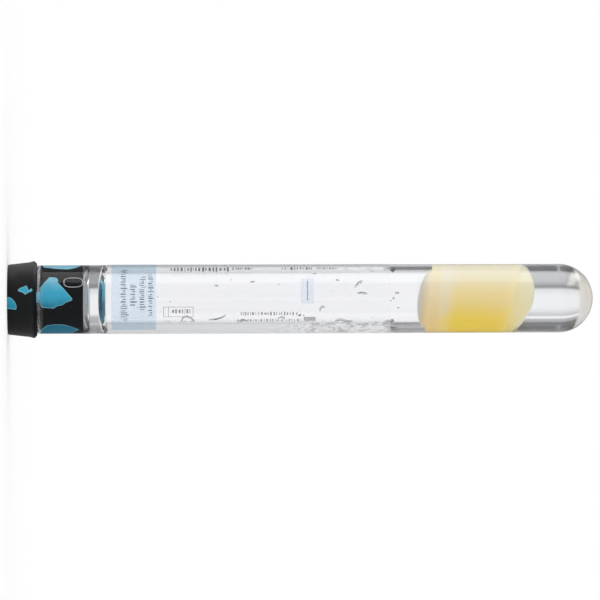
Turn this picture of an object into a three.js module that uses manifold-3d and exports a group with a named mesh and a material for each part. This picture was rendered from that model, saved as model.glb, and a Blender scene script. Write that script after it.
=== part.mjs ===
// Blood collection tube of the cell-preparation kind: a glass tube with a pierceable rubber stopper,
// holding a liquid anticoagulant, a gel barrier and a clear density liquid.
//
// Units are millimetres and +Z is up. The tube stands on its stopper, with the round closed end at the
// top. The origin is the centre of the stopper's face, on the surface that the tube stands on.
//
// From the bottom up:
//   rubber_stopper        moulded in one piece: a flared head, and a plug inside the tube's mouth
//   anticoagulant_liquid  lies on the plug, fills the well in the plug and climbs the glass at its edge
//   glass_tube            blown in one piece: fire-polished mouth, straight wall, round end
//   label_film            clear film wrapped round the tube, with a slit between its two ends
//   gel_barrier           plug of soft gel that seals off the round end, domed at both faces
//   density_liquid        fills the round end behind the gel

import * as THREE from 'three';
import { mergeVertices } from 'three/addons/utils/BufferGeometryUtils.js';
import Module from 'manifold-3d';

const wasm = await Module();
wasm.setup();

// ---------------------------------------------------------------- driving dimensions, mm

// glass tube
const TUBE_OUTER_DIAMETER = 15.4;
const TUBE_LENGTH = 125;
const WALL = 1.05;
const END_WALL = 1.6;

// stopper head: overhangs are radii beyond the tube's, and the taper is radius lost towards the face
const HEAD_HEIGHT = 6.6;
const HEAD_OVERHANG = 0.725;
const HEAD_TAPER = 0.55;
const LIP_OVERHANG = 0.95;
const LIP_HEIGHT = 1.15;
const LIP_BEVEL = 0.4;
const RECESS_DIAMETER = 8;
const RECESS_DEPTH = 3.5;
const OUTSIDE_ROUNDING = 0.5;
const HOLLOW_RIM_ROUNDING = 0.4;
const HOLLOW_FLOOR_ROUNDING = 0.5;

// stopper plug, with a well in its end that leaves the rubber thin enough to pierce
const PLUG_LENGTH = 11.7;
const PLUG_CHAMFER_LENGTH = 1.3;
const PLUG_CHAMFER_DEPTH = 1.1;
const WELL_DIAMETER = 7;
const WELL_DEPTH = 8.5;

// liquid on the plug: its depth at the middle, and its climb at the glass as a power of the radius
const ANTICOAGULANT_DEPTH = 2.3;
const MENISCUS_CLIMB = 2.1;
const MENISCUS_POWER = 4;

// label film
const LABEL_START = 15.8;
const LABEL_LENGTH = 63.7;
const LABEL_THICKNESS = 0.1;
const LABEL_SLIT = 1.0;

// gel barrier and the liquid behind it: lengths on the axis, dome heights, and rise of each face per mm of X
const DENSITY_LIQUID_LENGTH = 11.65;
const GEL_LENGTH = 26.15;
const GEL_NEAR_DOME = 2.6;
const GEL_FAR_DOME = 4.7;
const GEL_NEAR_TILT = -0.13;
const GEL_FAR_TILT = -0.25;

// clearances
const SEAT_GAP = 0.1;
const PLUG_CLEARANCE = 0.08;
const FILL_CLEARANCE = 0.1;
const FACE_GAP = 0.15;
const LABEL_GAP = 0.02;
const CUT_OVERRUN = 2;

// facets
const TURN_SEGMENTS = 48;
const CORNER_DIVISIONS = 2;
const DOME_DIVISIONS = 5;

// ---------------------------------------------------------------- places that follow from them

const TUBE_RADIUS = TUBE_OUTER_DIAMETER / 2;
const BORE_RADIUS = TUBE_RADIUS - WALL;
const FILL_RADIUS = BORE_RADIUS - FILL_CLEARANCE;
const MOUTH_Z = HEAD_HEIGHT + SEAT_GAP;
const END_Z = MOUTH_Z + TUBE_LENGTH;
const SHOULDER_Z = END_Z - TUBE_RADIUS;
const BORE_END_Z = END_Z - END_WALL;

const PLUG_RADIUS = BORE_RADIUS - PLUG_CLEARANCE;
const PLUG_END_Z = HEAD_HEIGHT + PLUG_LENGTH;
const CHAMFER_Z = PLUG_END_Z - PLUG_CHAMFER_LENGTH;
const WELL_FLOOR_Z = PLUG_END_Z - WELL_DEPTH;

const GEL_FAR_Z = BORE_END_Z - DENSITY_LIQUID_LENGTH;
const GEL_NEAR_Z = GEL_FAR_Z - GEL_LENGTH;
const GEL_MIDDLE_Z = (GEL_NEAR_Z + GEL_FAR_Z) / 2;

// ---------------------------------------------------------------- turned shapes

/** Points of a path, without repeats and with those at the axis exactly on it. */
function outlinePoints(path, divisions) {
  const tolerance = 1e-6;
  const points = path.getPoints(divisions);
  const kept = points.filter((point, i) => i === 0 || point.distanceTo(points[i - 1]) > tolerance);
  kept.forEach((point) => {
    point.x = point.x < tolerance ? 0 : point.x;
  });
  return kept;
}

/** Adds straight lines to a path through corners [radius, z, rounding]; the last corner is its end. */
function addCorners(path, corners) {
  corners.forEach(([radius, z, rounding = 0], i) => {
    const corner = new THREE.Vector2(radius, z);
    if (rounding === 0) {
      path.lineTo(corner.x, corner.y);
      return;
    }
    const next = new THREE.Vector2(corners[i + 1][0], corners[i + 1][1]);
    const arrive = path.currentPoint.clone().sub(corner).setLength(rounding).add(corner);
    const leave = next.sub(corner).setLength(rounding).add(corner);
    path.lineTo(arrive.x, arrive.y);
    path.quadraticCurveTo(corner.x, corner.y, leave.x, leave.y);
  });
}

/** Turns an outline of (radius, z) points about the Z axis; the solid lies on the outline's left. */
function turned(points) {
  const geometry = new THREE.LatheGeometry(points, TURN_SEGMENTS);
  geometry.rotateX(Math.PI / 2);
  return geometry;
}

/** Leans a shape: each point rises with X, by the tilt that holds at its height. */
function tilted(geometry, tiltAt) {
  const position = geometry.getAttribute('position');
  for (let i = 0; i < position.count; i += 1) {
    const rise = position.getX(i) * tiltAt(position.getZ(i));
    position.setZ(i, position.getZ(i) + rise);
  }
  geometry.computeVertexNormals();
  return geometry;
}

// ---------------------------------------------------------------- solids for boolean cuts

function toSolid(geometry) {
  geometry.deleteAttribute('normal');
  geometry.deleteAttribute('uv');
  const merged = mergeVertices(geometry);
  const vertProperties = new Float32Array(merged.getAttribute('position').array);
  const triVerts = new Uint32Array(merged.getIndex().array);
  return new wasm.Manifold(new wasm.Mesh({ numProp: 3, vertProperties, triVerts }));
}

function toGeometry(solid) {
  const { numProp, vertProperties, triVerts } = solid.getMesh();
  const geometry = new THREE.BufferGeometry();
  geometry.setAttribute('position', new THREE.BufferAttribute(vertProperties, numProp));
  geometry.setIndex(new THREE.BufferAttribute(triVerts, 1));
  geometry.computeVertexNormals();
  return geometry;
}

// ---------------------------------------------------------------- sub-parts

function rubberStopper() {
  const lipZ = HEAD_HEIGHT - LIP_HEIGHT;
  const lipRadius = TUBE_RADIUS + LIP_OVERHANG;
  const headRadius = TUBE_RADIUS + HEAD_OVERHANG;
  const recessRadius = RECESS_DIAMETER / 2;
  const wellRadius = WELL_DIAMETER / 2;
  const path = new THREE.Path();
  path.moveTo(0, RECESS_DEPTH);
  addCorners(path, [
    // needle recess in the head's face
    [recessRadius, RECESS_DEPTH, HOLLOW_FLOOR_ROUNDING],
    [recessRadius, 0, HOLLOW_RIM_ROUNDING],
    // flared side of the head, and the lip round the tube's mouth
    [headRadius - HEAD_TAPER, 0, OUTSIDE_ROUNDING],
    [headRadius, lipZ - LIP_BEVEL],
    [lipRadius, lipZ],
    [lipRadius, HEAD_HEIGHT - LIP_BEVEL],
    [lipRadius - LIP_BEVEL, HEAD_HEIGHT],
    // seat for the mouth, then the plug with its chamfered end
    [PLUG_RADIUS, HEAD_HEIGHT],
    [PLUG_RADIUS, CHAMFER_Z],
    [PLUG_RADIUS - PLUG_CHAMFER_DEPTH, PLUG_END_Z],
    // well in the plug's end
    [wellRadius, PLUG_END_Z, HOLLOW_RIM_ROUNDING],
    [wellRadius, WELL_FLOOR_Z, HOLLOW_FLOOR_ROUNDING],
    [0, WELL_FLOOR_Z],
  ]);
  return turned(outlinePoints(path, CORNER_DIVISIONS));
}

function glassTube() {
  const mouthRounding = WALL / 2;
  const path = new THREE.Path();
  path.moveTo(0, BORE_END_Z);
  path.absellipse(0, SHOULDER_Z, BORE_RADIUS, BORE_END_Z - SHOULDER_Z, Math.PI / 2, 0, true);
  const rimMiddle = [BORE_RADIUS + mouthRounding, MOUTH_Z + mouthRounding];
  path.absarc(...rimMiddle, mouthRounding, Math.PI, 2 * Math.PI, false);
  path.absarc(0, SHOULDER_Z, TUBE_RADIUS, 0, Math.PI / 2, false);
  return turned(outlinePoints(path, DOME_DIVISIONS));
}

function anticoagulantLiquid() {
  const wellRadius = WELL_DIAMETER / 2 - FILL_CLEARANCE;
  const chamferSlope = PLUG_CHAMFER_LENGTH / PLUG_CHAMFER_DEPTH;
  const wedgeZ = CHAMFER_Z + (PLUG_RADIUS - FILL_RADIUS) * chamferSlope + FACE_GAP;
  const surfaceZ = PLUG_END_Z + ANTICOAGULANT_DEPTH;
  const path = new THREE.Path();
  path.moveTo(0, WELL_FLOOR_Z + FACE_GAP);
  addCorners(path, [
    [wellRadius, WELL_FLOOR_Z + FACE_GAP, HOLLOW_FLOOR_ROUNDING],
    [wellRadius, PLUG_END_Z + FACE_GAP],
    [PLUG_RADIUS - PLUG_CHAMFER_DEPTH, PLUG_END_Z + FACE_GAP],
    [FILL_RADIUS, wedgeZ],
  ]);
  for (let i = DOME_DIVISIONS; i >= 0; i -= 1) {
    const reach = i / DOME_DIVISIONS;
    path.lineTo(FILL_RADIUS * reach, surfaceZ + MENISCUS_CLIMB * reach ** MENISCUS_POWER);
  }
  return turned(outlinePoints(path, CORNER_DIVISIONS));
}

function labelFilm() {
  const innerRadius = TUBE_RADIUS + LABEL_GAP;
  const outerRadius = innerRadius + LABEL_THICKNESS;
  const startZ = MOUTH_Z + LABEL_START;
  const endZ = startZ + LABEL_LENGTH;
  const path = new THREE.Path();
  path.moveTo(innerRadius, startZ);
  addCorners(path, [
    [outerRadius, startZ],
    [outerRadius, endZ],
    [innerRadius, endZ],
    [innerRadius, startZ],
  ]);
  const ring = toSolid(turned(outlinePoints(path, CORNER_DIVISIONS)));
  const slit = new THREE.BoxGeometry(LABEL_SLIT, TUBE_RADIUS, LABEL_LENGTH + CUT_OVERRUN);
  slit.translate(0, TUBE_RADIUS, (startZ + endZ) / 2);
  return toGeometry(ring.subtract(toSolid(slit)));
}

function gelBarrier() {
  const path = new THREE.Path();
  path.moveTo(0, GEL_NEAR_Z);
  path.absellipse(0, GEL_NEAR_Z + GEL_NEAR_DOME, FILL_RADIUS, GEL_NEAR_DOME, -Math.PI / 2, 0, false);
  path.lineTo(FILL_RADIUS, GEL_FAR_Z - GEL_FAR_DOME);
  path.quadraticCurveTo(FILL_RADIUS / 2, GEL_FAR_Z, 0, GEL_FAR_Z);
  const tiltAt = (z) => (z < GEL_MIDDLE_Z ? GEL_NEAR_TILT : GEL_FAR_TILT);
  return tilted(turned(outlinePoints(path, DOME_DIVISIONS)), tiltAt);
}

function densityLiquid() {
  const faceZ = GEL_FAR_Z + FACE_GAP;
  const endHeight = BORE_END_Z - FILL_CLEARANCE - SHOULDER_Z;
  const path = new THREE.Path();
  path.moveTo(0, faceZ);
  path.quadraticCurveTo(FILL_RADIUS / 2, faceZ, FILL_RADIUS, faceZ - GEL_FAR_DOME);
  path.absellipse(0, SHOULDER_Z, FILL_RADIUS, endHeight, 0, Math.PI / 2, false);
  const middleZ = (faceZ + SHOULDER_Z) / 2;
  const tiltAt = (z) => (z < middleZ ? GEL_FAR_TILT : 0);
  return tilted(turned(outlinePoints(path, DOME_DIVISIONS)), tiltAt);
}

// ---------------------------------------------------------------- scene graph

const RUBBER = { color: 0x232223, roughness: 0.62, metalness: 0 };
const GLASS = { color: 0xeef1f3, roughness: 0.04, metalness: 0, transparent: true, opacity: 0.25 };
const FILM = { color: 0xd6e2f0, roughness: 0.25, metalness: 0, transparent: true, opacity: 0.35 };
const CLEAR_LIQUID = { color: 0xe8eef2, roughness: 0.02, metalness: 0, transparent: true, opacity: 0.3 };
const CREAM_GEL = { color: 0xe2cf96, roughness: 0.3, metalness: 0 };

function part(name, geometry, look) {
  const mesh = new THREE.Mesh(geometry, new THREE.MeshStandardMaterial(look));
  mesh.name = name;
  return mesh;
}

const stopper = new THREE.Group();
stopper.add(part('rubber_stopper', rubberStopper(), RUBBER));
stopper.add(part('anticoagulant_liquid', anticoagulantLiquid(), CLEAR_LIQUID));

const tube = new THREE.Group();
tube.add(part('glass_tube', glassTube(), GLASS));
tube.add(part('label_film', labelFilm(), FILM));
tube.add(part('gel_barrier', gelBarrier(), CREAM_GEL));
tube.add(part('density_liquid', densityLiquid(), CLEAR_LIQUID));

const bloodCollectionTube = new THREE.Group();
bloodCollectionTube.add(stopper, tube);

export default bloodCollectionTube;
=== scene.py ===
import math
import random

import bpy
import numpy as np
from mathutils import Matrix, Vector


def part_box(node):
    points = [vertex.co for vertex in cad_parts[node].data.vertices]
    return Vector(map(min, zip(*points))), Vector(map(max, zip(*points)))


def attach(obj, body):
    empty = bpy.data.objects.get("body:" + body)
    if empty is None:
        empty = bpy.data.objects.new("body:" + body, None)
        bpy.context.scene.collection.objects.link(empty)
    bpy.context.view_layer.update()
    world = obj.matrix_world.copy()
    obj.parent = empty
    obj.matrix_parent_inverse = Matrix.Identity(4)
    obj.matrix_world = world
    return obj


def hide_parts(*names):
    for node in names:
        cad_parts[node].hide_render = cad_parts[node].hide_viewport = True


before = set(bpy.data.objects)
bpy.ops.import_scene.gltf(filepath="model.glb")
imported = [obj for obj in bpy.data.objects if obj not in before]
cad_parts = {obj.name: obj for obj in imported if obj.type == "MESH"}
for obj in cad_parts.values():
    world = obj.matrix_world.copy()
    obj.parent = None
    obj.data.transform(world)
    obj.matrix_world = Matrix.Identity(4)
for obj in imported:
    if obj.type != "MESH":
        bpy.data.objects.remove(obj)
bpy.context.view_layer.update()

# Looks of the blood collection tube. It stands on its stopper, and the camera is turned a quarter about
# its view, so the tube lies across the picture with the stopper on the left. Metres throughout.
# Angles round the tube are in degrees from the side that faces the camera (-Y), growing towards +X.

MM = 0.001

# ---------------------------------------------------------------- sizes

STOPPER_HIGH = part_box("rubber_stopper")[1]
TUBE_LOW, TUBE_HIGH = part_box("glass_tube")
FILM_LOW, FILM_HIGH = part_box("label_film")

MOUTH_Z = TUBE_LOW.z
END_Z = TUBE_HIGH.z
TUBE_RADIUS = TUBE_HIGH.x
SHOULDER_Z = END_Z - TUBE_RADIUS
WALL = 1.05 * MM
END_WALL = 1.6 * MM
BORE_RADIUS = TUBE_RADIUS - WALL
BORE_END_Z = END_Z - END_WALL

# what fills the bore reaches this far into the glass, so that no film of air shows between them
CONTACT = 0.02 * MM
FILL_RADIUS = BORE_RADIUS + CONTACT

# the head ends just short of the tube's mouth
HEAD_HEIGHT = MOUTH_Z - 0.1 * MM
LIP_RADIUS = STOPPER_HIGH.x
# the rubber meets the glass only from here on, past the rounded mouth
NECK_Z = HEAD_HEIGHT + 0.85 * MM
PLUG_END_Z = STOPPER_HIGH.z
PLUG_CHAMFER_LENGTH = 1.3 * MM
PLUG_CHAMFER_DEPTH = 1.1 * MM
WELL_RADIUS = 3.5 * MM
WELL_DEPTH = 8.5 * MM
RECESS_RADIUS = 4 * MM
RECESS_DEPTH = 3.5 * MM

LIQUID_DEPTH = 2.0 * MM
LIQUID_TOP_Z = PLUG_END_Z + LIQUID_DEPTH
MENISCUS_CLIMB = 1.7 * MM
MENISCUS_POWER = 3
# air left between the plug's chamfer and the liquid
AIR_FILM = 0.05 * MM

# the gel's faces, at the tube's axis; each bulges by its dome, and rises with X by its tilt
GEL_FAR_Z = BORE_END_Z - 11.65 * MM
GEL_LENGTH = 26.15 * MM
GEL_NEAR_Z = GEL_FAR_Z - GEL_LENGTH
GEL_NEAR_DOME = 2.6 * MM
GEL_FAR_DOME = 4.7 * MM
GEL_NEAR_TILT = -0.13
GEL_FAR_TILT = -0.25

FILM_GAP = 0.02 * MM
FILM_THICKNESS = 0.1 * MM
FILM_SLIT = 1.0 * MM
# the print lies on the film, each layer just above the one below
INK_INNER = TUBE_RADIUS + 0.125 * MM
INK_THICKNESS = 0.01 * MM
INK_LAYER = 1.5 * INK_THICKNESS

# between these heights the wall gets wet enough to make the film over it patchy
WET_START_Z = 58 * MM
WET_FULL_Z = 72 * MM

TURNS = 192
# a long straight wall has a ring at least this often, so that its smooth shading stays straight too
RING_STEP = 1.5 * MM


# ---------------------------------------------------------------- meshes

def make_object(name, vertices, faces, material, crease=35):
    """A smooth-shaded mesh object, sharp where its faces meet at more than crease degrees."""
    mesh = bpy.data.meshes.new(name)
    mesh.from_pydata([tuple(v) for v in vertices], [], faces)
    mesh.validate()
    mesh.polygons.foreach_set("use_smooth", [True] * len(mesh.polygons))
    mesh.set_sharp_from_angle(angle=math.radians(crease))
    mesh.materials.append(material)
    mesh.update()
    thing = bpy.data.objects.new(name, mesh)
    bpy.context.scene.collection.objects.link(thing)
    return thing


def ellipse(centre_z, radius, height, start, end, steps, centre_r=0.0):
    """Points (radius, z) of an elliptic arc; start and end are in degrees."""
    angles = np.radians(np.linspace(start, end, steps + 1))
    return [(centre_r + radius * math.cos(a), centre_z + height * math.sin(a)) for a in angles]


def rounded(corners, steps=6):
    """Points of an outline through corners (r, z, rounding), each corner eased by a curve."""
    points = []
    for i, (r, z, rounding) in enumerate(corners):
        corner = np.array((r, z))
        if rounding == 0:
            points.append((r, z))
            continue
        to_last = np.array(corners[i - 1][:2]) - corner
        to_next = np.array(corners[i + 1][:2]) - corner
        start = corner + to_last / np.linalg.norm(to_last) * rounding
        end = corner + to_next / np.linalg.norm(to_next) * rounding
        for t in np.linspace(0, 1, steps + 1):
            point = (1 - t) ** 2 * start + 2 * t * (1 - t) * corner + t * t * end
            points.append(tuple(point))
    return points


def divided(outline, step):
    """The outline with each stretch that is longer than step cut into equal shorter ones."""
    points = [outline[0]]
    for last, point in zip(outline, outline[1:]):
        count = max(1, math.ceil(math.dist(last, point) / step))
        for i in range(1, count + 1):
            t = i / count
            points.append((last[0] + (point[0] - last[0]) * t, last[1] + (point[1] - last[1]) * t))
    return points


def turned(outline, turns=TURNS, tilt=None):
    """Vertices and faces of an outline turned about Z, from the axis to the axis, solid on its left.

    tilt gives how much a point rises with X at its height.
    """
    vertices = []
    rings = []
    for r, z in outline:
        on_axis = r < 1e-4 * MM
        count = 1 if on_axis else turns
        start = len(vertices)
        for i in range(count):
            a = 2 * math.pi * i / turns
            x = 0.0 if on_axis else r * math.cos(a)
            y = 0.0 if on_axis else r * math.sin(a)
            rise = tilt(z) * x if tilt else 0.0
            vertices.append((x, y, z + rise))
        rings.append([start + i % count for i in range(turns + 1)])
    faces = []
    for low, high in zip(rings, rings[1:]):
        for i in range(turns):
            face = [low[i], low[i + 1], high[i + 1], high[i]]
            corners = list(dict.fromkeys(face))
            if len(corners) > 2:
                faces.append(corners)
    return vertices, faces


def on_cylinder(angle, z, radius):
    """The point at an angle round the tube, as counted from the side that faces the camera."""
    a = math.radians(angle)
    return (radius * math.sin(a), -radius * math.cos(a), z)


def ring_faces(rings, size, closed=False):
    """Faces between rings of size points; closed joins the last to the first, or else both are capped."""
    faces = []
    for i in range(rings if closed else rings - 1):
        here = i * size
        after = (i + 1) % rings * size
        for k in range(size):
            m = (k + 1) % size
            faces.append((here + k, here + m, after + m, after + k))
    if not closed:
        faces.append(tuple(range(size - 1, -1, -1)))
        faces.append(tuple(range((rings - 1) * size, rings * size)))
    return faces


def curved_slab(start, end, low, high, inner, outer, columns=None):
    """Vertices and faces of a closed slab bent round the tube, between two angles and two heights."""
    columns = columns or max(1, math.ceil(abs(end - start) / 3))
    corners = [(low, inner), (high, inner), (high, outer), (low, outer)]
    vertices = []
    for i in range(columns + 1):
        angle = start + (end - start) * i / columns
        vertices += [on_cylinder(angle, z, radius) for z, radius in corners]
    return vertices, ring_faces(columns + 1, len(corners))


def joined(parts):
    """Several (vertices, faces) as one."""
    vertices = []
    faces = []
    for part_vertices, part_faces in parts:
        start = len(vertices)
        vertices += part_vertices
        faces += [tuple(start + i for i in face) for face in part_faces]
    return vertices, faces


# ---------------------------------------------------------------- shader helpers

def new_material(name):
    material = bpy.data.materials.new(name)
    material.use_nodes = True
    tree = material.node_tree
    tree.nodes.clear()
    return material, tree


def add(tree, kind, **settings):
    """A node; settings are its inputs by name, as values or as sockets to link, or its own properties."""
    node = tree.nodes.new(kind)
    for name, value in settings.items():
        label = name.replace("_", " ")
        if label not in node.inputs:
            setattr(node, name, value)
        elif isinstance(value, bpy.types.NodeSocket):
            tree.links.new(value, node.inputs[label])
        else:
            node.inputs[label].default_value = value
    return node


def math_node(tree, operation, *values):
    node = add(tree, "ShaderNodeMath", operation=operation)
    for socket, value in zip(node.inputs, values):
        if isinstance(value, (int, float)):
            socket.default_value = value
        else:
            tree.links.new(value, socket)
    return node.outputs[0]


def times(tree, first, second):
    return math_node(tree, "MULTIPLY", first, second)


def plus(tree, first, second):
    return math_node(tree, "ADD", first, second)


def noise(tree, scale, detail=3.0, stretch=(1, 1, 1)):
    """A noise value from the object's own coordinates; scale is in features per metre."""
    place = add(tree, "ShaderNodeTexCoord").outputs["Object"]
    mapping = add(tree, "ShaderNodeMapping", Vector=place, Scale=stretch)
    texture = add(tree, "ShaderNodeTexNoise", Vector=mapping.outputs[0], Scale=scale, Detail=detail)
    return texture.outputs["Fac"]


def wander(tree, scale, reach, detail=3.0):
    """Noise about zero, at most reach either way."""
    return math_node(tree, "MULTIPLY_ADD", noise(tree, scale, detail), 2 * reach, -reach)


def axis(tree, name, source="Object"):
    """The object's own X, Y or Z, or in the world, with source="Generated", those of a ray's direction."""
    place = add(tree, "ShaderNodeTexCoord").outputs[source]
    return add(tree, "ShaderNodeSeparateXYZ", Vector=place).outputs[name]


def ramp(tree, value, low, high, low_out=0.0, high_out=1.0, smooth=True):
    """Goes from low_out to high_out as the value goes from low to high, which may be the smaller."""
    node = add(
        tree, "ShaderNodeMapRange", interpolation_type="SMOOTHSTEP" if smooth else "LINEAR",
        Value=value, From_Min=low, From_Max=high, To_Min=low_out, To_Max=high_out,
    )
    return node.outputs["Result"]


def inside(tree, value, low, low_full, high_full, high):
    """1 between low_full and high_full, easing to 0 at low and at high."""
    return times(tree, ramp(tree, value, low, low_full), ramp(tree, value, high, high_full))


def outside(tree, value, low_full, low, high, high_full):
    """0 between low and high, easing to 1 at low_full and at high_full."""
    return math_node(tree, "MAXIMUM", ramp(tree, value, high, high_full), ramp(tree, value, low, low_full))


def facing(tree):
    """0 where a surface is seen straight on, 1 where it is seen edge on."""
    return add(tree, "ShaderNodeLayerWeight", Blend=0.5).outputs["Facing"]


def mix_colour(tree, factor, first, second):
    node = add(tree, "ShaderNodeMix", data_type="RGBA")
    for socket, value in ((node.inputs[0], factor), (node.inputs[6], first), (node.inputs[7], second)):
        if isinstance(value, bpy.types.NodeSocket):
            tree.links.new(value, socket)
        elif isinstance(value, tuple):
            socket.default_value = (*value, 1.0)
        else:
            socket.default_value = value
    return node.outputs[2]


def mix_shader(tree, factor, first, second):
    node = add(tree, "ShaderNodeMixShader")
    if isinstance(factor, bpy.types.NodeSocket):
        tree.links.new(factor, node.inputs[0])
    else:
        node.inputs[0].default_value = factor
    tree.links.new(first, node.inputs[1])
    tree.links.new(second, node.inputs[2])
    return node.outputs[0]


def bump(tree, height, strength, distance):
    node = add(tree, "ShaderNodeBump", Height=height, Strength=strength, Distance=distance)
    return node.outputs["Normal"]


def finish_surface(tree, shader):
    add(tree, "ShaderNodeOutputMaterial", Surface=shader)


def lets_lamps_through(tree, shader, tint):
    """The shader for sight, and a plain tint for rays that only carry light to what lies behind."""
    path = add(tree, "ShaderNodeLightPath")
    clear = add(tree, "ShaderNodeBsdfTransparent", Color=(*tint, 1.0))
    light_only = math_node(tree, "MAXIMUM", path.outputs["Is Shadow Ray"], path.outputs["Is Diffuse Ray"])
    return mix_shader(tree, light_only, shader, clear.outputs[0])


def principled(tree, colour, **settings):
    return add(tree, "ShaderNodeBsdfPrincipled", Base_Color=colour, **settings).outputs[0]


def clear_shader(tree, ior, colour, roughness=0.0, **settings):
    return principled(tree, colour, IOR=ior, Roughness=roughness, Transmission_Weight=1.0, **settings)


# ---------------------------------------------------------------- materials

def clear_material(name, ior, tint, light_tint):
    """A clear liquid: it bends what is seen through it, and has faint streaks of tint."""
    material, tree = new_material(name)
    streaks = noise(tree, 180, stretch=(1, 1, 0.25))
    pale = tuple(min(1.0, c * 1.01) for c in tint)
    shader = clear_shader(tree, ior, mix_colour(tree, streaks, tint, pale))
    finish_surface(tree, lets_lamps_through(tree, shader, light_tint))
    return material


def tilt_off_wall(tree):
    """How far a surface turns from the tube's wall: 0 where it lies along it, 1 where it stands on it."""
    place = add(tree, "ShaderNodeTexCoord").outputs["Object"]
    level = add(tree, "ShaderNodeVectorMath", operation="MULTIPLY", Vector=place)
    level.inputs[1].default_value = (1, 1, 0)
    outward = add(tree, "ShaderNodeVectorMath", operation="NORMALIZE", Vector=level.outputs[0])
    along = add(tree, "ShaderNodeVectorMath", operation="DOT_PRODUCT", Vector=outward.outputs[0])
    tree.links.new(add(tree, "ShaderNodeNewGeometry").outputs["Normal"], along.inputs[1])
    return math_node(tree, "SUBTRACT", 1.0, math_node(tree, "ABSOLUTE", along.outputs["Value"]))


def drop_material():
    """Clear drops, whose sides, where they rise steeply off the wall, are painted dark as a painted
    reflection of the dark room.
    """
    material, tree = new_material("wet_drops")
    painted_dark_sides = ramp(tree, plus(tree, tilt_off_wall(tree), wander(tree, 900, 0.15)), -0.02, 0.13)
    # painted reflection: the drops' sides are painted near black
    shader = clear_shader(tree, 1.34, mix_colour(tree, painted_dark_sides, (0.98, 0.98, 0.99), (0.05, 0.055, 0.06)))
    finish_surface(tree, lets_lamps_through(tree, shader, (0.97, 0.97, 0.97)))
    return material


def glass_material():
    """Clear glass, faintly wavy, a little warmer where the end wall is thick, and dull round its mouth,
    where pale patches are a painted highlight.
    """
    material, tree = new_material("tube_glass")
    z = axis(tree, "Z")
    streaks = noise(tree, 180, stretch=(1, 1, 0.25))
    clear = mix_colour(tree, streaks, (0.985, 0.99, 0.995), (0.995, 0.995, 1.0))
    thick = ramp(tree, z, END_Z - 3.5 * MM, END_Z - 1.5 * MM)
    shader = clear_shader(
        tree, 1.5, mix_colour(tree, thick, clear, (0.96, 0.945, 0.935)),
        roughness=ramp(tree, z, MOUTH_Z + 0.7 * MM, MOUTH_Z + 0.3 * MM, 0.0, 0.25),
        Normal=bump(tree, noise(tree, 90, detail=1.0), 0.02, 1 * MM),
    )
    # pale diffuse patches round the mouth, denser towards -X: a painted highlight where the rim catches
    # the lamp
    speckle = mix_colour(tree, noise(tree, 1200), (0.55, 0.55, 0.56), (0.85, 0.86, 0.87))
    ground = add(tree, "ShaderNodeBsdfDiffuse", Color=speckle)
    cover = times(tree, ramp(tree, z, MOUTH_Z + 0.9 * MM, MOUTH_Z + 0.3 * MM),
                  ramp(tree, axis(tree, "X"), 1 * MM, -5 * MM, 0.1, 0.55))
    cover = times(tree, cover, ramp(tree, noise(tree, 500), 0.38, 0.56))
    glass = mix_shader(tree, cover, shader, ground.outputs[0])
    finish_surface(tree, lets_lamps_through(tree, glass, (0.95, 0.955, 0.955)))
    return material


def rubber_material(name, gloss, pale, deep, painted_lit_grey):
    """Black rubber with blue marbling, whose edges come from the mesh's marbling distances in mm.

    pale and deep are the marbling's colours towards -X and +X: painted light and shade, lighter on the
    lamp's side.
    The last argument is how pale the black gets towards -X, painted light there too. A value the mesh
    carries covers it all with grey, a painted sheen on the plug's chamfer.
    """
    material, tree = new_material(name)
    distance = add(tree, "ShaderNodeAttribute", attribute_name="marbling")
    edge = plus(tree, distance.outputs["Fac"], wander(tree, 1800, 0.15, detail=4.0))
    side = plus(tree, axis(tree, "X"), wander(tree, 260, 2 * MM))
    # painted light and shade: the blue is lighter towards -X, the lamp's side, and deeper towards +X
    light = mix_colour(tree, ramp(tree, side, -5.5 * MM, -1.5 * MM), pale, (0.058, 0.44, 0.64))
    body = mix_colour(tree, ramp(tree, side, -1.6 * MM, 2.6 * MM), light, deep)
    blue = mix_colour(tree, ramp(tree, edge, 0.05, 0.17), (0.25, 0.56, 0.68), body)
    grain = noise(tree, 5200, detail=5.0)
    black = mix_colour(tree, grain, (0.0035, 0.0042, 0.005), (0.0075, 0.0082, 0.009))
    # painted light: the black turns a paler grey towards -X, the lamp's side
    painted_lit_side = ramp(tree, side, -3 * MM, -8.3 * MM)
    black = mix_colour(tree, painted_lit_side, black, (painted_lit_grey, painted_lit_grey, painted_lit_grey))
    marbled = mix_colour(tree, ramp(tree, edge, -0.03, 0.05), black, blue)
    # grey over the plug's chamfer, a painted sheen
    painted_chamfer_sheen = mix_colour(tree, grain, (0.35, 0.37, 0.38), (0.50, 0.52, 0.53))
    painted_sheen_amount = add(tree, "ShaderNodeAttribute", attribute_name="painted_chamfer_sheen")
    shader = principled(
        tree, mix_colour(tree, painted_sheen_amount.outputs["Fac"], marbled, painted_chamfer_sheen), Specular_IOR_Level=gloss,
        Roughness=ramp(tree, grain, 0.3, 0.7, 0.42, 0.56), Normal=bump(tree, grain, 0.25, 0.05 * MM),
    )
    finish_surface(tree, shader)
    return material


def leaned_z(tree, tilt):
    """Height along the tube, less what a face that leans by tilt rises there."""
    return plus(tree, axis(tree, "Z"), times(tree, axis(tree, "X"), -tilt))


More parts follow.
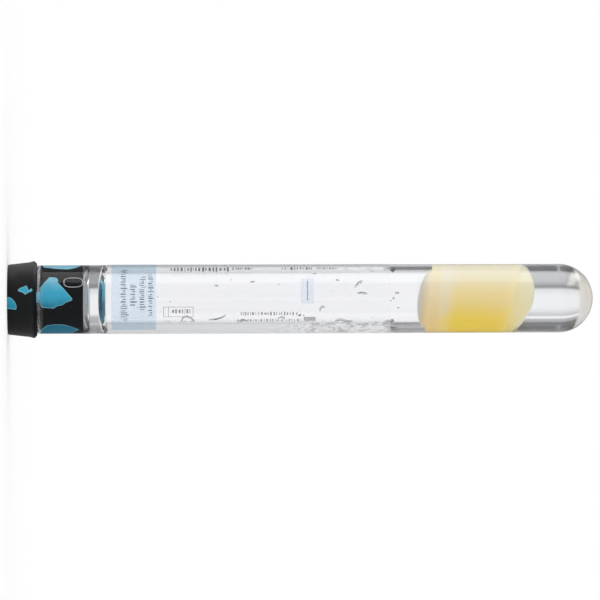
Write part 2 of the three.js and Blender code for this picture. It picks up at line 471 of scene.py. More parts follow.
def gel_colour(tree, far_end):
    """Cream, painted whiter towards -X and deeper yellow towards +X as painted light and shade, with
    hazier ends.

    The near end leans with its face: a grey edge, a painted reflection of the dark room, then a warmer
    stretch, painted shade, and a pale band before the rest.
    The far end is painted paler towards its domed face, as far_end grows, as painted light on that face.
    """
    across = plus(tree, axis(tree, "X"), wander(tree, 120, 1.2 * MM))
    # painted light and shade across the tube: 0 on the lit -X side, 1 on the shaded +X side
    depth = ramp(tree, across, -6 * MM, 5.5 * MM, smooth=False)
    cream = mix_colour(tree, ramp(tree, depth, 0.0, 0.5), (0.87, 0.81, 0.62), (0.93, 0.76, 0.37))
    colour = mix_colour(tree, ramp(tree, depth, 0.45, 1.0), cream, (0.94, 0.69, 0.11))
    z = plus(tree, leaned_z(tree, GEL_NEAR_TILT), wander(tree, 200, 0.8 * MM))
    pale_band = times(tree, ramp(tree, z, GEL_NEAR_Z + 9.2 * MM, GEL_NEAR_Z + 5.6 * MM),
                 ramp(tree, depth, 0.6, 1.0, 0.75, 0.4))
    pale = mix_colour(tree, depth, (0.88, 0.84, 0.72), (0.86, 0.75, 0.52))
    colour = mix_colour(tree, pale_band, colour, pale)
    # painted shade: a warmer stretch near the near end
    stretch = ramp(tree, z, GEL_NEAR_Z + 5.4 * MM, GEL_NEAR_Z + 4.4 * MM, 0.0, 0.9)
    painted_shade_warm = mix_colour(tree, depth, (0.89, 0.82, 0.61), (0.88, 0.66, 0.31))
    colour = mix_colour(tree, stretch, colour, painted_shade_warm)
    # painted reflection: a grey edge at the near face
    edge = ramp(tree, z, GEL_NEAR_Z + 1.7 * MM, GEL_NEAR_Z + 0.2 * MM, 0.0, 0.8)
    colour = mix_colour(tree, edge, colour, (0.68, 0.67, 0.61))
    # painted light: paler towards the far domed face
    return mix_colour(tree, times(tree, far_end, 0.5), colour, (1.0, 0.93, 0.72))


def gel_material():
    """Translucent gel, whose far face turns glossy at a grazing angle, where it meets the liquid."""
    material, tree = new_material("cream_gel")
    rim_z = GEL_FAR_Z - GEL_FAR_DOME
    far_end = ramp(tree, leaned_z(tree, GEL_FAR_TILT), rim_z - 3.5 * MM, rim_z + 4 * MM)
    shader = principled(
        tree, gel_colour(tree, far_end), Roughness=0.35, Specular_IOR_Level=0.05,
        Subsurface_Weight=0.5, Subsurface_Radius=(1.0, 0.7, 0.35), Subsurface_Scale=2 * MM,
        Sheen_Weight=0.35, Sheen_Roughness=0.3, Sheen_Tint=(1.0, 0.97, 0.86, 1.0),
        Normal=bump(tree, noise(tree, 300), 0.1, 0.2 * MM),
    )
    grazing = times(tree, ramp(tree, facing(tree), 0.62, 0.85), far_end)
    gloss = add(tree, "ShaderNodeBsdfGlossy", Color=(1.0, 0.99, 0.94, 1.0), Roughness=0.3)
    finish_surface(tree, mix_shader(tree, grazing, shader, gloss.outputs[0]))
    return material


def film_material():
    """Clear label film: a faint milky haze that thickens where it's seen edge on.

    The haze is thicker towards +X, thinner at the back and at the film's far end, patchy over the wet
    part of the tube, and painted grey at the rim of the -X side, a painted shade.
    """
    thinnest = 0.012
    dry = 0.42
    fade_length = 2.5 * MM
    turn_per_metre = 13.0
    material, tree = new_material("label_film")
    x = axis(tree, "X")
    z = axis(tree, "Z")
    # painted shade: the film turns grey at the rim of the -X side
    rim = ramp(tree, x, -0.893 * TUBE_RADIUS, -0.968 * TUBE_RADIUS)
    white = mix_colour(tree, noise(tree, 400, detail=4.0), (0.93, 0.935, 0.95), (0.96, 0.965, 0.98))
    colour = mix_colour(tree, rim, white, (0.50, 0.51, 0.53))
    turned_away = math_node(tree, "MULTIPLY_ADD", x, turn_per_metre, facing(tree))
    edge_on = times(tree, ramp(tree, turned_away, 0.24, 0.42),
                    ramp(tree, axis(tree, "Y"), 1 * MM, -1 * MM, 0.35, 1.2))
    edge_on = times(tree, edge_on, ramp(tree, z, FILM_HIGH.z, FILM_HIGH.z - fade_length, 0.25, 1.0))
    patches = ramp(tree, noise(tree, 1300, stretch=(1, 1, 0.6)), 0.42, 0.54, 0.12, 0.54)
    wet = times(tree, ramp(tree, z, WET_START_Z, WET_FULL_Z), ramp(tree, x, -2 * MM, 2 * MM, 0.3, 1.0))
    thickness = plus(tree, times(tree, wet, patches), math_node(tree, "MULTIPLY_ADD", wet, -dry, dry))
    alpha = math_node(tree, "MULTIPLY_ADD", edge_on, thickness, thinnest)
    finish_surface(tree, principled(tree, colour, Alpha=alpha, Roughness=0.4, Specular_IOR_Level=0.15))
    return material


def ink_material(name, colour, cover, tint=(1.0, 1.0, 1.0), speckle=0.15):
    """Thin print: part of it covers, with fine speckle, and the rest tints what is seen through it."""
    material, tree = new_material(name)
    grain = noise(tree, 2600, detail=4.0)
    dark = tuple(c * 0.88 for c in colour)
    ink = add(tree, "ShaderNodeBsdfDiffuse", Color=mix_colour(tree, grain, dark, colour))
    clear = add(tree, "ShaderNodeBsdfTransparent", Color=(*tint, 1.0))
    amount = ramp(tree, grain, 0.3, 0.7, cover * (1 - speckle), cover * (1 + speckle))
    finish_surface(tree, mix_shader(tree, amount, clear.outputs[0], ink.outputs[0]))
    return material


# ---------------------------------------------------------------- stopper

def patch_distance(angles, heights, patch):
    """Distance in mm from each point of the stopper to a patch's edge, positive inside the patch.

    The patch is a list of corners (angle in degrees, height in mm), laid out flat at the plug's radius.
    """
    middle = sum(a for a, _ in patch) / len(patch)
    flat = FILL_RADIUS / MM
    across = np.radians((angles - middle + 180) % 360 - 180) * flat
    along = heights / MM
    corners = [(math.radians(a - middle) * flat, z) for a, z in patch]
    nearest = np.full(angles.shape, np.inf)
    within = np.zeros(angles.shape, bool)
    for (x0, z0), (x1, z1) in zip(corners, corners[1:] + corners[:1]):
        dx, dz = x1 - x0, z1 - z0
        t = np.clip(((across - x0) * dx + (along - z0) * dz) / (dx * dx + dz * dz), 0, 1)
        nearest = np.minimum(nearest, np.hypot(across - x0 - t * dx, along - z0 - t * dz))
        if dz:
            crosses = (z0 > along) != (z1 > along)
            within ^= crosses & (across < x0 + dx * (along - z0) / dz)
    return np.where(within, nearest, -nearest)


# Blue patches as corners (angle, height in mm), on the side that faces the camera.
HEAD_PATCHES = [
    [(-14.6, 2.3), (-18.6, 2.85), (-20, 3.55), (-22.6, 4.3), (-20.5, 4.6), (-16.5, 4.7), (-14.4, 5.1),
     (-18.2, 5.5), (-13.8, 5.8), (-11.7, 5.3), (-10.9, 4.8), (-7.5, 4.1), (-10.1, 3.8), (-11.4, 3.3)],
    [(-4, -0.6), (-4, 0.7), (-1, 1.3), (4.6, 1.85), (11, 2.15), (16.3, 2.05), (15.6, 1.3), (14.7, -0.6)],
]
PLUG_PATCHES = [
    [(-22.7, 7.5), (-45.1, 9.4), (-44.2, 11.0), (-38.7, 11.5), (-33, 11.4), (-24.3, 12.3), (-11.9, 13.6),
     (-1.1, 14.7), (1.5, 14.6), (5.4, 13.3), (10.8, 12.3), (12.1, 11.3), (17, 10.4), (14.8, 7.7),
     (6.5, 7.4), (6.5, 6.5), (-14.6, 6.5), (-14.6, 7.4)],
    [(78, 7.4), (65.7, 7.8), (54.3, 8.8), (51.5, 10.7), (52.3, 12.6), (58.4, 14.5), (68.4, 16.0),
     (78, 14.9), (92, 13.9), (110, 12.4), (114, 9.0), (96, 7.2)],
    [(-77, 8.1), (-71, 10.7), (-68, 13.6), (-74, 15.2), (-86, 16.6), (-104, 15.0), (-108, 10.0),
     (-94, 7.8)],
]


def random_patches(count, low, high, size):
    """More patches of the same kind, between two heights in mm, on the side away from the camera."""
    first_angle = 110
    span = 140
    patches = []
    for i in range(count):
        middle = first_angle + span * (i + 0.5) / count + random.uniform(-6, 6)
        height = random.uniform(low, high)
        corner_count = random.randint(7, 10)
        corners = []
        for k in range(corner_count):
            a = 2 * math.pi * k / corner_count
            reach = size * random.uniform(0.45, 1.0)
            turn = math.degrees(reach * MM * math.cos(a) / FILL_RADIUS)
            corners.append((middle + turn, height + reach * math.sin(a)))
        patches.append(corners)
    return patches


def set_values(mesh, name, values):
    attribute = mesh.attributes.new(name, "FLOAT", "POINT")
    attribute.data.foreach_set("value", values.astype(np.float32))


def add_marbling(mesh):
    """The distances that colour the stopper, and the painted sheen of grey round the end of its plug."""
    head_end = HEAD_HEIGHT - 0.02 * MM
    # a patch crosses the black neck only at this angle
    crossing = -4
    crossing_reach = 10.5
    # the plug's end face and well are blue over their middle, in mm of X
    end_middle = 0.3
    end_reach = 4.6
    end_radius = FILL_RADIUS - 0.9 * PLUG_CHAMFER_DEPTH
    soft_edge = 0.15 * MM
    places = np.array([v.co for v in mesh.vertices])
    angles = np.degrees(np.arctan2(places[:, 0], -places[:, 1]))
    heights = places[:, 2]
    radii = np.hypot(places[:, 0], places[:, 1])
    head_sets = HEAD_PATCHES + random_patches(count=4, low=1.0, high=5.0, size=1.9)
    plug_sets = PLUG_PATCHES + random_patches(count=3, low=9.0, high=15.5, size=2.6)
    head = np.max([patch_distance(angles, heights, p) for p in head_sets], axis=0)
    plug = np.max([patch_distance(angles, heights, p) for p in plug_sets], axis=0)
    side = np.where(heights < head_end, head, plug)
    in_neck = (heights > head_end) & (heights < NECK_Z) & (np.abs(angles - crossing) > crossing_reach)
    side = np.where(in_neck, -1.0, side)
    blue_end = end_reach - np.abs(places[:, 0] / MM - end_middle)
    is_end = (heights > RECESS_DEPTH) & (radii < end_radius)
    set_values(mesh, "marbling", np.where(is_end, blue_end, side))
    # the plug's chamfer is painted grey, as a painted sheen
    past_chamfer = np.clip((heights - PLUG_END_Z + PLUG_CHAMFER_LENGTH) / soft_edge, 0, 1)
    set_values(mesh, "painted_chamfer_sheen", np.where(is_end, 0.0, past_chamfer))


def make_stopper(free_rubber, pressed_rubber):
    """Head with its recess, lip and neck, and plug with its well, pressed against the glass."""
    lip_z = HEAD_HEIGHT - 0.9 * MM
    bevel = 0.4 * MM
    head_top = LIP_RADIUS - 0.225 * MM
    head_face = head_top - 0.55 * MM
    well_z = PLUG_END_Z - WELL_DEPTH
    neck_radius = FILL_RADIUS - 0.12 * MM
    outline = rounded([
        (0, RECESS_DEPTH, 0),
        (RECESS_RADIUS, RECESS_DEPTH, 0.5 * MM),
        (RECESS_RADIUS, 0, 0.4 * MM),
        (head_face, 0, 0.35 * MM),
        (head_top, lip_z - 0.8 * MM, 0.1 * MM),
        (LIP_RADIUS, lip_z, 0.06 * MM),
        (LIP_RADIUS, HEAD_HEIGHT - 1.3 * bevel, 0.06 * MM),
        (LIP_RADIUS - 1.5 * bevel, HEAD_HEIGHT, 0.08 * MM),
        (neck_radius, HEAD_HEIGHT, 0.1 * MM),
        (neck_radius, NECK_Z - 0.15 * MM, 0.05 * MM),
        (FILL_RADIUS, NECK_Z, 0.05 * MM),
        (FILL_RADIUS, PLUG_END_Z - PLUG_CHAMFER_LENGTH, 0.05 * MM),
        (FILL_RADIUS - PLUG_CHAMFER_DEPTH, PLUG_END_Z, 0.15 * MM),
        (WELL_RADIUS, PLUG_END_Z, 0.4 * MM),
        (WELL_RADIUS, well_z, 0.5 * MM),
        (0, well_z, 0),
    ])
    vertices, faces = turned(divided(outline, 0.25 * MM), turns=256)
    stopper = make_object("stopper", vertices, faces, free_rubber)
    stopper.data.materials.append(pressed_rubber)
    for face in stopper.data.polygons:
        face.material_index = 1 if face.center.z > HEAD_HEIGHT + 0.05 * MM else 0
    add_marbling(stopper.data)
    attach(stopper, "stopper")
    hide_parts("rubber_stopper")


def pale_bead_material():
    material, tree = new_material("pale_bead")
    grain = noise(tree, 3000, detail=4.0)
    colour = mix_colour(tree, grain, (0.34, 0.35, 0.36), (0.55, 0.57, 0.58))
    grained = bump(tree, grain, 0.2, 0.05 * MM)
    finish_surface(tree, principled(tree, colour, Roughness=0.5, Specular_IOR_Level=0.05, Normal=grained))
    return material


def make_cartouche(material):
    """Raised oval outline on the plug, with its field left bare."""
    middle_angle = -33.4
    middle_z = 14.85 * MM
    half_length = 2.1 * MM
    half_width = 1.15 * MM
    bead = 0.11 * MM
    squareness = 0.7
    sides = 8
    steps = 72
    vertices = []
    for i in range(steps):
        a = 2 * math.pi * i / steps
        # squarer than an ellipse
        along = math.copysign(abs(math.cos(a)) ** squareness, math.cos(a)) * half_length
        across = math.copysign(abs(math.sin(a)) ** squareness, math.sin(a)) * half_width
        length = math.hypot(along, across)
        for k in range(sides):
            b = -2 * math.pi * k / sides
            grow = 1 + bead * math.cos(b) / length
            radius = FILL_RADIUS + 0.4 * bead * math.sin(b)
            turn = middle_angle + math.degrees(across * grow / FILL_RADIUS)
            vertices.append(on_cylinder(turn, middle_z + along * grow, radius))
    oval = make_object("stopper_oval", vertices, ring_faces(steps, sides, closed=True), material)
    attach(oval, "stopper")


# ---------------------------------------------------------------- tube and its fill

def make_glass(material):
    """Up the bore, round the mouth and back along the outside."""
    rim = WALL / 2
    steps = 40
    outline = ellipse(SHOULDER_Z, BORE_RADIUS, BORE_END_Z - SHOULDER_Z, 90, 0, steps)
    outline += ellipse(MOUTH_Z + rim, rim, rim, 180, 360, 20, centre_r=BORE_RADIUS + rim)
    outline += ellipse(SHOULDER_Z, TUBE_RADIUS, TUBE_RADIUS, 0, 90, steps)
    vertices, faces = turned(divided(outline, RING_STEP))
    glass = make_object("glass", vertices, faces, material, crease=60)
    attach(glass, "tube")
    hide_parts("glass_tube")


def make_anticoagulant(material):
    """Liquid on the plug, with a climbing meniscus, and a film of air left round the plug's chamfer."""
    end_z = PLUG_END_Z - CONTACT
    well_z = PLUG_END_Z - WELL_DEPTH - CONTACT
    chamfer_radius = FILL_RADIUS - PLUG_CHAMFER_DEPTH
    chamfer_z = PLUG_END_Z - PLUG_CHAMFER_LENGTH + 2 * AIR_FILM
    outline = rounded([
        (0, well_z, 0),
        (WELL_RADIUS + CONTACT, well_z, 0.5 * MM),
        (WELL_RADIUS + CONTACT, end_z, 0.4 * MM),
        (chamfer_radius - 0.3 * MM, end_z, 0.1 * MM),
        (chamfer_radius, PLUG_END_Z + AIR_FILM, 0.05 * MM),
        (FILL_RADIUS, chamfer_z, 0),
    ])
    steps = 40
    for i in range(steps, -1, -1):
        reach = i / steps
        climb = MENISCUS_CLIMB * reach ** MENISCUS_POWER
        outline.append((FILL_RADIUS * reach, LIQUID_TOP_Z + climb))
    vertices, faces = turned(divided(outline, RING_STEP))
    liquid = make_object("anticoagulant", vertices, faces, material)
    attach(liquid, "stopper")
    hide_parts("anticoagulant_liquid")


def blended(z, low, high, low_value, high_value):
    """A value that changes evenly from low_value to high_value between two heights."""
    t = min(max((z - low) / (high - low), 0.0), 1.0)
    return low_value + (high_value - low_value) * t


def far_face(radius, offset=0.0):
    """Height of the gel's far face at a radius, before it leans."""
    return GEL_FAR_Z + offset - GEL_FAR_DOME * (radius / BORE_RADIUS) ** 2


def make_gel(material):
    """A plug with two domed faces, whose lean changes evenly from one to the other."""
    steps = 40
    outline = ellipse(GEL_NEAR_Z + GEL_NEAR_DOME, FILL_RADIUS, GEL_NEAR_DOME, -90, 0, steps)
    for i in range(steps, -1, -1):
        radius = FILL_RADIUS * i / steps
        outline.append((radius, far_face(radius)))
    low = GEL_NEAR_Z + GEL_NEAR_DOME
    high = GEL_FAR_Z - GEL_FAR_DOME
    vertices, faces = turned(
        divided(outline, 0.5 * MM),
        tilt=lambda z: blended(z, low, high, GEL_NEAR_TILT, GEL_FAR_TILT),
    )
    gel = make_object("gel", vertices, faces, material)
    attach(gel, "tube")
    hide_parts("gel_barrier")


def make_density_liquid(material):
    """From the gel's leaning face to the round end."""
    steps = 40
    radii = [FILL_RADIUS * i / steps for i in range(steps + 1)]
    outline = [(radius, far_face(radius, -CONTACT)) for radius in radii]
    outline += ellipse(SHOULDER_Z, FILL_RADIUS, BORE_END_Z + CONTACT - SHOULDER_Z, 0, 90, steps)
    vertices, faces = turned(
        divided(outline, RING_STEP),
        tilt=lambda z: blended(z, GEL_FAR_Z, SHOULDER_Z, GEL_FAR_TILT, 0.0),
    )
    liquid = make_object("density_medium", vertices, faces, material)
    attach(liquid, "tube")
    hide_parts("density_liquid")


# ---------------------------------------------------------------- droplets

def streak(path, width, height, divisions=4, sides=6):
    """A thin ridge of liquid on the bore wall along path, a list of (angle, height in mm)."""
    points = []
    for (a0, z0), (a1, z1) in zip(path, path[1:]):
        for i in range(divisions):
            t = i / divisions
            points.append((a0 + (a1 - a0) * t, z0 + (z1 - z0) * t))
    points.append(path[-1])
    flat = [Vector((math.radians(a) * BORE_RADIUS, z * MM)) for a, z in points]
    for _ in range(2):
        flat = [flat[0]] + [(p + 2 * q + r) / 4 for p, q, r in zip(flat, flat[1:], flat[2:])] + [flat[-1]]
    vertices = []
    last = len(flat) - 1
    for i, point in enumerate(flat):
        along = (flat[min(i + 1, last)] - flat[max(i - 1, 0)]).normalized()
        side = Vector((-along.y, along.x))
        # narrow at its ends, and a little uneven between them
        swell = 0.25 + 0.75 * math.sin(math.pi * min(max(i / last, 0.04), 0.96)) ** 0.5
        swell *= random.uniform(0.8, 1.2)
        # over the ridge from side to side, then back under it
        across = [2 * k / sides - 1 for k in range(sides + 1)]
        radii = [FILL_RADIUS - height * swell * math.sqrt(max(0.0, 1 - u * u)) for u in across]
        base_radii = [FILL_RADIUS + CONTACT] * 2
        for u, radius in zip(across + [1, -1], radii + base_radii):
            place = point + side * (u * width * swell / 2)
            vertices.append(on_cylinder(math.degrees(place.x / BORE_RADIUS), place.y, radius))
    return vertices, ring_faces(len(flat), sides + 3)


def drop(angle, z, across, along, height, wobble=0.2):
    """A low drop on the bore wall; across and along are its half sizes in mm."""
    sides = 20
    rings = 5
    phase = random.uniform(0, 6.28)
    vertices = [on_cylinder(angle, z * MM, FILL_RADIUS - height)]
    for j in range(1, rings + 1):
        rho = j / rings
        rise = height * math.sqrt(max(0.0, 1 - rho * rho))
        for i in range(sides):
            a = 2 * math.pi * i / sides
            waves = math.sin(2 * a + phase) + 0.5 * math.sin(3 * a - 2 * phase)
            reach = rho * (1 + wobble * rho * waves)
            turn = angle + math.degrees(across * MM * reach * math.cos(a) / BORE_RADIUS)
            vertices.append(on_cylinder(turn, (z + along * reach * math.sin(a)) * MM, FILL_RADIUS - rise))
    centre = len(vertices)
    vertices.append(on_cylinder(angle, z * MM, FILL_RADIUS + CONTACT))
    faces = []
    for i in range(sides):
        n = (i + 1) % sides
        faces.append((0, 1 + i, 1 + n))
        for j in range(rings - 1):
            low, high = 1 + j * sides, 1 + (j + 1) * sides
            faces.append((low + i, high + i, high + n, low + n))
        edge = 1 + (rings - 1) * sides
        faces.append((centre, edge + n, edge + i))
    return vertices, faces


# Wet lines left on the bore wall: (angle, height in mm) points, width and height in mm.
STREAKS = [
    ([(-20.7, 78.1), (-27.7, 78.7), (-32, 79.2), (-34.5, 79.9)], 0.55, 0.22),
    ([(-10.4, 78.7), (-10.8, 79.8), (-9, 80.9)], 0.5, 0.22),
    ([(23.7, 70.3), (17.8, 70.3), (13.6, 70.8), (15.9, 71.4)], 0.45, 0.2),
    ([(47, 73.6), (42, 74.1), (41.5, 75.2), (45, 75.8), (45.1, 77.6)], 0.5, 0.25),
    ([(50.7, 84.5), (44.3, 85.3), (46.9, 86.2), (42, 86.5), (47, 86.9)], 0.6, 0.3),
    ([(62.5, 85.9), (72, 86.8), (74.3, 87.8)], 0.5, 0.25),
    ([(45.6, 39.1), (36.2, 39.4), (32.9, 40.0), (34, 40.8), (38.5, 41.5), (44.3, 42.1)], 0.4, 0.2),
    ([(49.4, 39.4), (50.7, 40.1), (54.8, 40.8)], 0.4, 0.2),
    ([(40.8, 45.3), (40.1, 46.8), (35, 48.4), (30, 49.1)], 0.4, 0.2),
    ([(50.7, 51.5), (44.3, 52.4), (41.5, 53.1), (44.3, 53.8)], 0.5, 0.25),
    ([(38.5, 60.8), (34, 61.7), (38.5, 62.3)], 0.4, 0.2),
]

# Single drops: angle, height in mm, half sizes across and along in mm, and how far they stand up in mm.
DROPS = [
    (-66, 86.4, 0.9, 0.75, 0.45),
    (76, 60.3, 0.7, 0.65, 0.4),
    (78, 67.5, 0.5, 0.5, 0.35),
    (80, 24.9, 0.5, 0.9, 0.4),
    (77, 32.1, 0.7, 0.6, 0.4),
    (80, 34.7, 0.3, 0.6, 0.25),
    (80, 28.0, 0.3, 0.4, 0.25),
    (49, 66.3, 0.5, 0.4, 0.3),
    (31, 65.7, 0.3, 0.35, 0.2),
    (-79, 73.6, 0.5, 0.4, 0.3),
    (57, 22.9, 0.7, 0.5, 0.35),
    (-62, 81.9, 0.5, 0.4, 0.2),
]


# Scattered small drops: how many, and their ranges of size in mm, angle, height in mm and length to width.
SPRAYS = [
    (46, (0.12, 0.38), (50, 88), (68.5, 85.5), (0.8, 1.8)),
    (30, (0.1, 0.3), (95, 265), (26, 88), (0.8, 1.6)),
]


def make_droplets(material):
    parts = [streak(path, width * MM, height * MM) for path, width, height in STREAKS]
    parts += [drop(a, z, across, along, height * MM) for a, z, across, along, height in DROPS]
    for count, sizes, angles, heights, stretches in SPRAYS:
        for _ in range(count):
            size = random.uniform(*sizes)
            angle = random.uniform(*angles)
            z = random.uniform(*heights)
            stretch = random.uniform(*stretches)
            parts.append(drop(angle, z, size, size * stretch, 0.6 * size * MM))
    vertices, faces = joined(parts)
    wet = make_object("droplets", vertices, faces, material)
    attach(wet, "tube")


# ---------------------------------------------------------------- label

def make_film(material):
    """One turn of film round the tube, open by a slit at the back."""
    end = 180 - math.degrees(FILM_SLIT / TUBE_RADIUS) / 2
    inner = TUBE_RADIUS + FILM_GAP
    outer = inner + FILM_THICKNESS
    vertices, faces = curved_slab(-end, end, FILM_LOW.z, FILM_HIGH.z, inner, outer, columns=TURNS)
    film = make_object("film", vertices, faces, material)
    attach(film, "tube")
    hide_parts("label_film")


def bar(start, end, low, high, layer=0):
    """One printed bar between two angles and two heights in mm; each layer lies on the one below."""
    inner = INK_INNER + layer * INK_LAYER
    return curved_slab(start, end, low * MM, high * MM, inner, inner + INK_THICKNESS)


def bars_round(start, end, low, height):
    """A row of short bars that stands for a line of print, running round the tube."""
    bars = []
    angle = start
    while angle < end:
        width = random.uniform(0.8, 1.9)
        foot = low + height * random.choice((0.0, 0.0, 0.3))
        head = low + height * random.choice((1.0, 0.75, 0.75))
        bars.append(bar(angle, min(angle + width, end), foot, head, layer=1))
        angle += width + random.uniform(1.7, 3.6)
    return bars


def bars_along(angle, width, low, high):
    """A row of short bars that stands for a line of print, running along the tube."""
    bars = []
    z = low
    while z < high:
        length = random.uniform(0.12, 0.5)
        reach = width * random.choice((1.0, 0.8, 0.6))
        bars.append(bar(angle - reach / 2, angle + reach / 2, z, min(z + length, high), layer=1))
        z += length + random.uniform(0.2, 0.5)
    return bars


def frame_lines(start, end, low, high, line):
    """The outline of a box; line is its width in mm."""
    turn = math.degrees(line * MM / TUBE_RADIUS)
    return [
        bar(start, end, low, low + line, layer=1),
        bar(start, end, high - line, high, layer=1),
        bar(start, start + turn, low + line, high - line, layer=1),
        bar(end - turn, end, low + line, high - line, layer=1),
    ]


def circle_line(angle, z, radius, line):
    """A printed ring; sizes in mm."""
    steps = 28
    low = INK_INNER + INK_LAYER
    high = low + INK_THICKNESS
    corners = [(radius - line, low), (radius - line, high), (radius, high), (radius, low)]
    vertices = []
    for i in range(steps):
        a = 2 * math.pi * i / steps
        for reach, depth in corners:
            turn = angle + math.degrees(reach * MM * math.cos(a) / TUBE_RADIUS)
            vertices.append(on_cylinder(turn, (z + reach * math.sin(a)) * MM, depth))
    return vertices, ring_faces(steps, len(corners), closed=True)


def print_piece(name, parts, material):
    vertices, faces = joined(parts)
    piece = make_object(name, vertices, faces, material)
    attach(piece, "tube")


def make_print():
    """Colour fields and bars in place of the label's print; angles round the tube, heights in mm."""
    field_ink = ink_material("field_ink", (0.76, 0.88, 1.0), 0.12, tint=(0.935, 0.975, 1.0))
    row_ink = ink_material("row_ink", (0.09, 0.16, 0.24), 0.8)
    mark_ink = ink_material("mark_ink", (0.70, 0.82, 0.96), 0.12, tint=(0.97, 0.985, 1.0))
    line_ink = ink_material("line_ink", (0.25, 0.40, 0.65), 0.5)
    far_ink = ink_material("far_ink", (0.24, 0.21, 0.23), 0.5)
    pink_ink = ink_material("pink_ink", (0.62, 0.42, 0.42), 0.45)
    dark_ink = ink_material("dark_ink", (0.20, 0.21, 0.23), 0.55)

    print_piece("field_print", [bar(-120, 61, 23.4, 33.4)], field_ink)
    rows = bars_round(-58, 38, 25.5, 1.5)
    rows += bars_round(-24.6, 10.7, 27.7, 1.4)
    rows += bars_round(-40, 21, 29.75, 1.4)
    rows += bars_round(-44.7, 30, 31.7, 1.15)
    print_piece("row_print", rows, row_ink)

    print_piece("fill_mark", [bar(-36, 7.5, 66.0, 68.9)], mark_ink)
    print_piece("fill_line", [bar(-31, 2.5, 67.35, 67.6, layer=1)], line_ink)

    far = frame_lines(144.8, 165.9, 34.9, 41.7, 0.13)
    far += [bar(144.8, 165.9, 36.0, 36.12, layer=1)]
    far += bars_along(157, 11, 36.9, 41.0)
    far += [circle_line(127, 35.9, 1.0, 0.24), circle_line(127, 39.4, 1.0, 0.24)]
    far += bars_along(151.5, 8, 52.4, 65.5)
    far += bars_along(135, 9, 51.5, 65.9)
    print_piece("far_print", far, far_ink)
    print_piece("far_field", [bar(131, 144, 66.6, 69.3)], pink_ink)

    top = bars_along(-59, 13, 36.7, 49.8)
    top += bars_along(-61, 7, 50.6, 55.1)
    top += bars_along(-61, 8, 61.7, 68.4)
    top += bars_along(-61, 6, 69.6, 74.0)
    print_piece("side_print", top, dark_ink)


# ---------------------------------------------------------------- studio

# What clear things show of the room behind the tube, as levels by the heading in degrees from +Y towards
# +X: a white backdrop between grey screens, with pale walls round the rest. A low row of others stands
# behind the liquid on the stopper.
SCREENS = [
    (-180, 0.87), (-90, 0.9), (-70, 0.9), (-58, 0.08), (-48, 0.2), (-44, 0.22), (-37, 0.3), (-31, 0.05),
    (-27.5, 0.24), (-25, 0.42), (-22.5, 0.49), (-21.4, 0.98), (-19.4, 0.98), (-17.8, 0.56),
    (-15.8, 0.62), (-12, 0.84), (-8.5, 0.92), (2, 0.93), (6, 0.84), (8.6, 0.76), (10.2, 0.26),
    (11.8, 0.20), (13.6, 0.40), (18, 0.38), (24, 0.44), (32, 0.40), (50, 0.36), (65, 0.7), (90, 0.9),
    (180, 0.87),
]
LOW_SCREENS = [
    (-180, 0.87), (-90, 0.9), (-68, 0.6), (-57, 0.18), (-44, 0.14), (-36, 0.17), (-30, 0.31),
    (-27, 0.34), (-25.5, 0.64), (-24, 0.39), (-20, 0.37), (-16, 0.42), (-12.5, 0.90), (2, 0.91),
    (5, 0.82), (8.6, 0.70), (9.6, 0.2), (17, 0.17), (28, 0.11), (40, 0.03), (52, 0.05), (65, 0.5),
    (90, 0.9), (180, 0.87),
]


def screen_colour(tree, heading, levels):
    """The level at a heading in radians, a hair bluer than grey."""
    node = add(tree, "ShaderNodeValToRGB", Fac=ramp(tree, heading, -math.pi, math.pi, smooth=False))
    stops = node.color_ramp.elements
    while len(stops) < len(levels):
        stops.new(1.0)
    for stop, (angle, level) in zip(stops, levels):
        stop.position = (angle + 180) / 360
        stop.color = (level, level, level * 1.02, 1)
    return node.outputs["Color"]


def room_behind(tree, rise):
    """What clear things show, by heading and by rise, which is 0 level with the eye and 1 straight up."""
    heading = math_node(tree, "ARCTAN2", axis(tree, "X", "Generated"), axis(tree, "Y", "Generated"))
    off_row = outside(tree, rise, -0.023, -0.022, -0.0186, -0.0179)
    room = mix_colour(tree, off_row, screen_colour(tree, heading, LOW_SCREENS),
                      screen_colour(tree, heading, SCREENS))
    # dark flags on both sides are seen through the round end only
    off_level = outside(tree, rise, -0.03, -0.025, 0.012, 0.019)
    flags = inside(tree, math_node(tree, "ABSOLUTE", heading), *np.radians((31, 37, 56, 62)).tolist())
    room = mix_colour(tree, times(tree, off_level, flags), room, (0.09, 0.09, 0.09))
    ceiling = ramp(tree, rise, 0.25, 0.6)
    room = mix_colour(tree, ceiling, room, (0.62, 0.61, 0.58))
    ground = ramp(tree, rise, -0.32, -0.40)
    return mix_colour(tree, ground, room, (0.76, 0.735, 0.73))


def room_mirrored(tree, rise):
    """What glossy things show: a dim room, and a bright panel above -X, a soft light on the round end."""
    sideways = ramp(tree, axis(tree, "X", "Generated"), -0.52, -0.76)
    panel = times(tree, sideways, inside(tree, rise, 0.34, 0.56, 0.66, 0.86))
    return mix_colour(tree, panel, (0.16, 0.165, 0.18), (6.5, 6.5, 6.5))


def make_world():
    """Even light for the object, white behind it, and rooms of their own for clear and glossy things."""
    world = bpy.data.worlds.new("studio")
    bpy.context.scene.world = world
    world.use_nodes = True
    tree = world.node_tree
    tree.nodes.clear()
    rise = axis(tree, "Z", "Generated")
    path = add(tree, "ShaderNodeLightPath")
    colour = mix_colour(tree, path.outputs["Is Glossy Ray"], (0.9, 0.9, 0.9), room_mirrored(tree, rise))
    colour = mix_colour(tree, path.outputs["Is Transmission Ray"], colour, room_behind(tree, rise))
    colour = mix_colour(tree, path.outputs["Is Camera Ray"], colour, (1.0, 1.0, 1.0))
    background = add(tree, "ShaderNodeBackground", Color=colour, Strength=1.0)
    add(tree, "ShaderNodeOutputWorld", Surface=background.outputs[0])


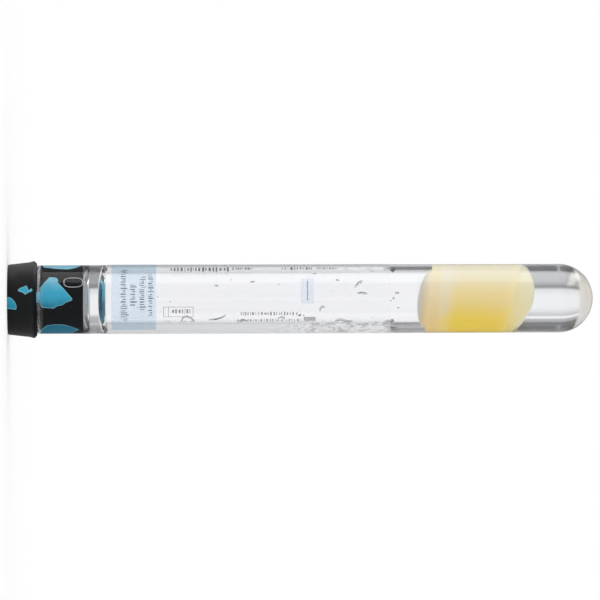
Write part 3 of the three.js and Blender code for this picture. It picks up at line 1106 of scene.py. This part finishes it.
def floor_material():
    """Plain pale floor that takes the object's shadow, and glows enough to look white away from it."""
    material, tree = new_material("floor")
    speckle = mix_colour(tree, noise(tree, 30), (0.79, 0.79, 0.79), (0.81, 0.81, 0.81))
    diffuse = add(tree, "ShaderNodeBsdfDiffuse", Color=speckle)
    path = add(tree, "ShaderNodeLightPath").outputs
    in_glass = math_node(tree, "MAXIMUM", path["Is Glossy Ray"], path["Is Transmission Ray"])
    seen = math_node(tree, "MULTIPLY_ADD", path["Is Camera Ray"], 0.25, times(tree, in_glass, 0.05))
    glow = add(tree, "ShaderNodeEmission", Color=(1, 1, 1, 1), Strength=seen)
    lit = add(tree, "ShaderNodeAddShader")
    tree.links.new(diffuse.outputs[0], lit.inputs[0])
    tree.links.new(glow.outputs[0], lit.inputs[1])
    finish_surface(tree, lit.outputs[0])
    return material


def make_floor():
    """A disc just below the stopper."""
    radius = 0.16
    steps = 96
    gap = 0.02 * MM
    angles = [2 * math.pi * i / steps for i in range(steps)]
    rim = [(radius * math.cos(a), radius * math.sin(a), 0.0) for a in angles]
    floor = make_object("floor", rim, [tuple(range(steps))], floor_material())
    floor.location.z = -gap


def area_lamp(name, place, target, size, radiance):
    data = bpy.data.lights.new(name, "AREA")
    data.shape = "SQUARE"
    data.size = size
    data.energy = radiance * math.pi * size * size
    lamp = bpy.data.objects.new(name, data)
    bpy.context.scene.collection.objects.link(lamp)
    lamp.location = place
    lamp.rotation_euler = (Vector(target) - Vector(place)).to_track_quat("-Z", "Y").to_euler()


def make_camera():
    """Level, from -Y, with a long lens, and turned so that +Z runs to the right of the picture."""
    distance = 2.4
    frame_width = 135.13 * MM
    middle_z = 65.78 * MM
    axis_drop = 0.34 * MM
    lean = math.radians(0.16)
    data = bpy.data.cameras.new("camera")
    data.sensor_width = 36
    data.lens = data.sensor_width * distance / frame_width
    camera = bpy.data.objects.new("camera", data)
    bpy.context.scene.collection.objects.link(camera)
    right = Vector((math.sin(lean), 0, math.cos(lean)))
    up = Vector((-math.cos(lean), 0, math.sin(lean)))
    back = Vector((0, -1, 0))
    turn = Matrix((right, up, back)).transposed().to_4x4()
    camera.matrix_world = Matrix.Translation((axis_drop, -distance, middle_z)) @ turn
    bpy.context.scene.camera = camera


# ---------------------------------------------------------------- build

random.seed(11)
bpy.context.scene.view_settings.view_transform = "Standard"

make_camera()
make_world()
area_lamp("key", place=(-0.9, -0.12, 0.12), target=(0, 0, 0.065), size=0.8, radiance=1.0)
make_floor()
# each rubber has its own painted light and shade; the one pressed against the glass has the stronger
# painted gradient
make_stopper(
    rubber_material("marbled_rubber", 0.22, pale=(0.022, 0.36, 0.52), deep=(0.02, 0.30, 0.45), painted_lit_grey=0.055),
    rubber_material("pressed_rubber", 0.02, pale=(0.26, 0.60, 0.76), deep=(0.018, 0.17, 0.27), painted_lit_grey=0.016),
)
make_cartouche(pale_bead_material())
make_glass(glass_material())
make_anticoagulant(clear_material("citrate", 1.34, (0.99, 0.99, 0.99), (0.98, 0.98, 0.98)))
make_gel(gel_material())
make_density_liquid(clear_material("density_liquid", 1.40, (0.985, 0.99, 0.985), (0.98, 0.98, 0.98)))
make_droplets(drop_material())
make_film(film_material())
make_print()
